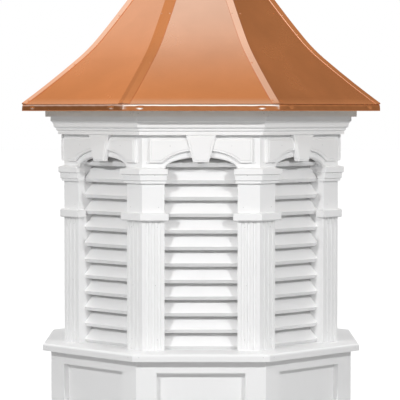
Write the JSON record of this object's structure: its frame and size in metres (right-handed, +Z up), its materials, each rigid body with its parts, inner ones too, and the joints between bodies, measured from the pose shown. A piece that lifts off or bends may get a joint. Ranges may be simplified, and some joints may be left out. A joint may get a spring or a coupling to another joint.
{
  "type": "barn cupola",
  "caption": "Octagonal louvred barn cupola with panelled base, fluted corner pilasters, keystoned arch boards and a concave copper roof with hip caps.",
  "frame": {"origin": "middle of the base's underside, where it rests", "axes": "+Z up through the peak, -Y out through the front face, +X to the right seen from the front"},
  "size_m": [1.443, 1.443, 2.2352],
  "materials": {
    "white_trim": "satin white cellular PVC trim board",
    "louvre": "satin white louvre blade",
    "copper": "new bright copper sheet, lightly brushed",
    "framing": "plain softwood framing and plywood"
  },
  "bodies": {
    "root": {"arch_boards_diagonal_faces": "white_trim", "arch_boards_main_faces": "white_trim", "base_bottom_rails": "white_trim", "base_corner_boards": "white_trim", "base_panels": "white_trim", "base_posts": "framing", "base_top_rails": "white_trim", "capitals": "white_trim", "corner_posts": "white_trim", "cornice_board_diagonal_faces": "white_trim", "cornice_board_main_faces": "white_trim", "crown_diagonal_faces": "white_trim", "crown_main_faces": "white_trim", "drip_edge_diagonal_faces": "copper", "drip_edge_main_faces": "copper", "hip_caps": "copper", "keystones": "white_trim", "louvres_back": "louvre", "louvres_back_left": "louvre", "louvres_back_right": "louvre", "louvres_front": "louvre", "louvres_front_left": "louvre", "louvres_front_right": "louvre", "louvres_left": "louvre", "louvres_right": "louvre", "mid_bands": "white_trim", "peak_cap": "copper", "pilasters": "white_trim", "roof_base_diagonal_faces": "framing", "roof_base_main_faces": "framing", "roof_copper_diagonal_faces": "copper", "roof_copper_main_faces": "copper", "roof_deck_diagonal_faces": "framing", "roof_deck_main_faces": "framing", "sill_diagonal_faces": "white_trim", "sill_main_faces": "white_trim", "top_plate_diagonal_faces": "framing", "top_plate_main_faces": "framing"}
  },
  "joints": []
}
